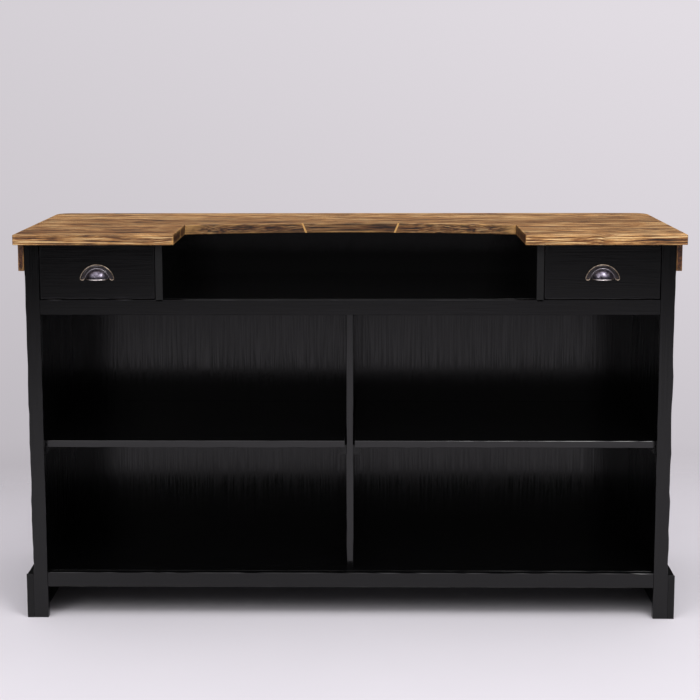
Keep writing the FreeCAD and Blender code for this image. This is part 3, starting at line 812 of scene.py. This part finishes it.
def dome_shell(middle_x, face_y, foot_z):
    """The cup: part of a thick sphere, cut level below and let into the flange behind."""
    centre = Vector((middle_x, face_y + dome_setback, foot_z - dome_centre_drop))
    let_in = dome_setback + 0.8 * flange_thickness
    lip = dome_centre_drop - lip_drop
    rows, columns = 20, 36
    shells = []
    sheet = bmesh.new()
    for radius in (dome_radius, dome_radius - dome_wall):
        first = asin(lip / radius)
        last = acos(let_in / radius) - 0.01
        grid = []
        for j in range(rows + 1):
            rise = first + (last - first) * j / rows
            level_radius = radius * cos(rise)
            level_radius -= lip_belly * max(0, 1 - (radius * sin(rise) - lip) / belly_height) ** 2
            widest = acos(let_in / level_radius)
            row = []
            for i in range(columns + 1):
                swing = widest * (2 * i / columns - 1)
                out = Vector((sin(swing), -cos(swing), 0)) * level_radius
                row.append(sheet.verts.new(centre + out + Vector((0, 0, radius * sin(rise)))))
            grid.append(row)
        shells.append(grid)
    outer, inner = shells
    for grid in shells:
        for j in range(rows):
            for i in range(columns):
                sheet.faces.new((grid[j][i], grid[j][i + 1], grid[j + 1][i + 1], grid[j + 1][i]))
    for rim in (0, -1):
        for i in range(columns):
            sheet.faces.new((outer[rim][i], outer[rim][i + 1], inner[rim][i + 1], inner[rim][i]))
        for j in range(rows):
            sheet.faces.new((outer[j][rim], outer[j + 1][rim], inner[j + 1][rim], inner[j][rim]))
    bmesh.ops.recalc_face_normals(sheet, faces=sheet.faces)
    return as_mesh(sheet, "dome")


def place_on_pull(mesh, pull_middle):
    """Tells the finish where on the pull each point is."""
    places = mesh.attributes.new("on_pull", "FLOAT_VECTOR", "POINT")
    for vertex, cell in zip(mesh.vertices, places.data):
        cell.vector = vertex.co - pull_middle
    return mesh


# Pewter plating chemically darkened: dull violet-grey, with cast unevenness and fine radial tool
# marks on the flange.
pewter, tree = new_finish("antique_pewter_plating")
place = add(tree, "Attribute", {"attribute_name": "on_pull"})["Vector"]
mottle = add(tree, "TexNoise", wires={"Vector": place, "Scale": 1 / (9 * mm), "Detail": 4.0})
colour = add(tree, "ValToRGB", {"stops": [(0.35, "#3a363d"), (0.65, "#7a7480")]}, {"Fac": mottle["Fac"]})
parts = add(tree, "SeparateXYZ", wires={"Vector": place})
flat = add(tree, "MapRange", wires={"Value": parts["Y"], "From Min": -2.5 * mm, "From Max": -2.1 * mm})
lowered = add(tree, "Math", "ADD", {0: parts["Z"], 1: rim_centre_drop})
turn = add(tree, "Math", "ARCTAN2", {0: lowered["Value"], 1: parts["X"]})
tick_angle = 4 * mm / rim_radius  # the real marks are half as wide, too fine to show in a render
count = add(tree, "Math", "MULTIPLY", {0: turn["Value"], 1: tau / tick_angle})
ticks = add(tree, "Math", "SINE", {0: count["Value"]})
lined = add(tree, "ValToRGB", {"stops": [(0.0, "#1c1a1c"), (1.0, "#5a5557")]},
            {"Fac": add(tree, "MapRange", wires={"Value": ticks["Value"], "From Min": -1.0})["Result"]})
# Painted highlight: a pale ring where the dome meets the flange, standing for the light along the fillet.
fillet_highlight_band = add(tree, "MapRange", wires={"Value": parts["Y"], "From Min": -4.0 * mm, "From Max": -3.0 * mm})
with_fillet_highlight = add(tree, "Mix", blend, {"Factor": fillet_highlight_band["Result"], "A": colour["Color"], "B": "#a8a3aa"})
aside = add(tree, "Math", "ABSOLUTE", {0: parts["X"]})
foot = add(tree, "MapRange", wires={"Value": aside["Value"], "From Min": 36 * mm, "From Max": 36.5 * mm})
untouched = add(tree, "Math", "MAXIMUM", {0: flat["Result"], 1: foot["Result"]})
blackened = add(tree, "Mix", blend,
                {"Factor": untouched["Value"], "A": with_fillet_highlight["Result"], "B": lined["Color"]})
marks = add(tree, "Math", "MULTIPLY", {0: ticks["Value"], 1: flat["Result"]})
height = add(tree, "Math", "MULTIPLY_ADD", {0: marks["Value"], 1: 0.5, 2: mottle["Fac"]})
dull = add(tree, "MapRange", wires={"Value": mottle["Fac"], "To Min": 0.38, "To Max": 0.24})
complete(tree, blackened["Result"], dull["Result"], height["Value"], 0.5, 0.5 * mm, Metallic=1.0)

# The same plating where fingers and polishing have cut through to warm bright metal.
rubbed_pewter, tree = new_finish("pewter_rubbed_bright")
place = add(tree, "Attribute", {"attribute_name": "on_pull"})["Vector"]
scuffs = add(tree, "TexNoise", wires={"Vector": place, "Scale": 1 / (4 * mm), "Detail": 3.0})
colour = add(tree, "ValToRGB", {"stops": [(0.35, "#7a6856"), (0.62, "#c2b29f")]}, {"Fac": scuffs["Fac"]})
out = add(tree, "SeparateXYZ", wires={"Vector": place})
fingered = add(tree, "MapRange", wires={"Value": out["Y"], "From Min": -9 * mm, "From Max": -18 * mm})
cleaned = add(tree, "Mix", blend, {"Factor": fingered["Result"], "A": colour["Color"], "B": "#e6deda"})
scuffed = add(tree, "MapRange", wires={"Value": scuffs["Fac"], "To Min": 0.42, "To Max": 0.28})
complete(tree, cleaned["Result"], scuffed["Result"], scuffs["Fac"], 0.4, 0.3 * mm, Metallic=1.0)

for side in ("left", "right"):
    low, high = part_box("cup_pull_" + side)
    middle_x = (low.x + high.x) / 2
    face_y = high.y
    foot_z = low.z + foot_radius
    front_y = face_y - flange_thickness
    pull_middle = Vector((middle_x, face_y, foot_z))
    hollow = sqrt((dome_radius - dome_wall) ** 2 - dome_setback ** 2)
    spring = degrees(asin(dome_centre_drop / hollow))
    outline = rim_line(0) + turned(0, -dome_centre_drop, hollow, 180 - spring, spring, 40)
    rows = []
    for y, inset in ((face_y, 0), (front_y + flange_edge, 0), (front_y, flange_edge)):
        places = [place + inward_at(outline, i) * inset for i, place in enumerate(outline)]
        rows.append([(Vector((middle_x + p.x, y, foot_z + p.y)), 0) for p in places])
    flange = close_rows(rows)
    bead = [(middle_x + p.x, front_y, foot_z + p.y) for p in rim_line(bead_radius)]
    junction = sqrt(dome_radius ** 2 - (dome_setback + flange_thickness) ** 2) + 2 * fillet_radius
    fillet = [(middle_x + p.x, front_y, foot_z + p.y)
              for p in turned(0, -dome_centre_drop, junction, 12, 168, 40)]
    lip_z = foot_z - lip_drop
    lip_line = sqrt((dome_radius - dome_wall / 2) ** 2 - (dome_centre_drop - lip_drop) ** 2)
    lip = [(middle_x + p.x, face_y + dome_setback - p.y, lip_z)
           for p in turned(0, 0, lip_line, 27, 153, 40)]
    pull = gathered("cup_pull_cast_" + side, [
        (flange, pewter), (dome_shell(middle_x, face_y, foot_z), pewter),
        (swept_bead("pull_bead", bead, bead_radius, 0.0, rubbed_pewter), rubbed_pewter),
        (swept_bead("pull_fillet", fillet, fillet_radius, 0.5, pewter), pewter),
        (swept_bead("pull_lip", lip, lip_radius, 0.6, rubbed_pewter), rubbed_pewter),
    ])
    fit_board("cup_pull_" + side, place_on_pull(pull, pull_middle))
    crown = [(screw_head_radius * cos(radians(a)), screw_head_height * sin(radians(a)))
             for a in (0, 20, 40, 60, 80)]
    head_at = Vector((middle_x - foot_offset, front_y, foot_z))
    head = lathed([(screw_head_radius, -0.5 * mm)] + crown, head_at, Vector((0, -1, 0)), 24)
    heads = repeated("pull_screw", head, 2, (2 * foot_offset, 0, 0), pewter)
    heads = gathered("pull_screw_heads_" + side, [(heads, pewter)])
    fit_board("pull_screws_" + side, place_on_pull(heads, pull_middle))


# -------- studio
# A floor of pale painted screed, a soft box on each side of the bartender's place, and a pale room
# with a bright ceiling. The floor fades into the room behind the counter and far in front of it.
floor_half = 9.0
sheet = bmesh.new()
bmesh.ops.create_grid(sheet, x_segments=8, y_segments=8, size=floor_half)
floor_mesh = as_mesh(sheet, "floor")
floor = set_down("floor", floor_mesh)
screed, tree = new_finish("pale_painted_screed")
place = add(tree, "TexCoord")["Object"]
cloud = add(tree, "TexNoise", wires={"Vector": place, "Scale": 1.3, "Detail": 4.0})
colour = add(tree, "Mix", blend, {"Factor": cloud["Fac"], "A": "#d8d5da", "B": "#e0dde2"})
shader = add(tree, "BsdfPrincipled", wires={"Base Color": colour["Result"], "Roughness": 0.55, "IOR": 1.45})
parts = add(tree, "SeparateXYZ", wires={"Vector": place})
behind = add(tree, "MapRange", {"interpolation_type": "SMOOTHSTEP"},
             {"Value": parts["Y"], "From Min": 0.3, "From Max": 1.8})
# The fade in front is a painted pool of light: centred near the counter and off to the right, it stands in
# for the lamps' light falling off across the floor.
from_middle = add(tree, "VectorMath", "MULTIPLY_ADD", {0: place, 1: (1.6, 1, 0), 2: (-0.8, 1.5, 0)})
reach = add(tree, "VectorMath", "LENGTH", {0: from_middle["Vector"]})
outside_light_pool = add(tree, "MapRange", wires={"Value": reach["Value"], "From Min": 2.8, "From Max": 7.6})
gone = add(tree, "Math", {"operation": "ADD", "use_clamp": True},
           {0: behind["Result"], 1: outside_light_pool["Result"]})
clear = add(tree, "BsdfTransparent")
faded = add(tree, "MixShader", wires={0: gone["Value"], 1: shader["BSDF"], 2: clear["BSDF"]})
add(tree, "OutputMaterial", wires={"Surface": faded["Shader"]})
floor_mesh.materials.append(screed)


def soft_box(name, place, target, width, power):
    """A square studio light that points at a place."""
    lamp = bpy.data.lights.new(name, "AREA")
    lamp.shape = "SQUARE"
    lamp.size = width
    lamp.energy = power
    stand = set_down(name, lamp)
    stand.location = place
    stand.rotation_euler = (Vector(target) - Vector(place)).to_track_quat("-Z", "Y").to_euler()


soft_box("soft_box_left", (-3.0, -4.5, 3.6), (0, -1.0, 0.5), 2.0, 55)
soft_box("soft_box_right", (1.35, -2.3, 3.8), (0, -0.5, 0.5), 1.3, 60)

room = bpy.data.worlds.new("pale_room")
bpy.context.scene.world = room
room.use_nodes = True
tree = room.node_tree
tree.nodes.clear()
looking = add(tree, "TexCoord")["Generated"]
heading = add(tree, "SeparateXYZ", wires={"Vector": looking})
height = add(tree, "MapRange", wires={"Value": heading["Z"], "From Min": -1.0})
# As seen, the walls are pale, with painted light and shade: darker low down and lighter to the
# right, as the lamps light them. As a light, the room is dim below and bright only overhead, as under
# a lit ceiling, so that the black paint stays black.
wall = add(tree, "ValToRGB",
           {"stops": [(0.36, "#bab5bb"), (0.375, "#c4bfc5"), (0.42, "#cec9cf"),
                      (0.455, "#d5d0d6"), (0.52, "#dcd7dd")]},
           {"Fac": height["Result"]})
painted_light_to_right = add(tree, "Math", "MULTIPLY_ADD", {0: heading["X"], 1: 0.3, 2: 1.0})
seen = add(tree, "Background", wires={"Color": wall["Color"], "Strength": painted_light_to_right["Value"]})
ceiling = add(tree, "ValToRGB",
              {"stops": [(0.49, grey(0.02)), (0.53, grey(0.075)), (0.70, grey(0.075)), (0.78, grey(0.35)),
                         (0.86, grey(0.86)), (0.90, grey(1.0))]},
              {"Fac": height["Result"]})
facing = add(tree, "Math", "MULTIPLY_ADD", {0: heading["Y"], 1: -1.2, 2: 1.5})
lit = add(tree, "Math", "MULTIPLY", {0: ceiling["Color"], 1: facing["Value"]})
fill = add(tree, "Background", wires={"Color": "#fbf8fc", "Strength": lit["Value"]})
ray = add(tree, "LightPath")
mixed = add(tree, "MixShader", wires={0: ray["Is Camera Ray"], 1: fill["Background"], 2: seen["Background"]})
add(tree, "OutputWorld", wires={"Surface": mixed["Shader"]})

# The camera stands where the bartender's colleague would, at eye height.
camera_data = bpy.data.cameras.new("camera")
camera_data.lens = 73.0
camera_data.sensor_width = 36.0
camera_data.shift_y = -0.15
camera = set_down("camera", camera_data)
camera.location = (0.048, -4.1563, 1.5457)
yaw, pitch, roll = radians(-0.68), radians(7.0), radians(-0.1)
ahead = Vector((sin(yaw) * cos(pitch), cos(yaw) * cos(pitch), -sin(pitch)))
level = Vector((cos(yaw), -sin(yaw), 0))
upright = level.cross(ahead)
right = level * cos(roll) + upright * sin(roll)
up = upright * cos(roll) - level * sin(roll)
turn = camera.matrix_world.to_3x3()
turn.col[0], turn.col[1], turn.col[2] = right, up, -ahead
camera.rotation_euler = turn.to_euler()
bpy.context.scene.camera = camera
bpy.context.scene.view_settings.view_transform = "Standard"
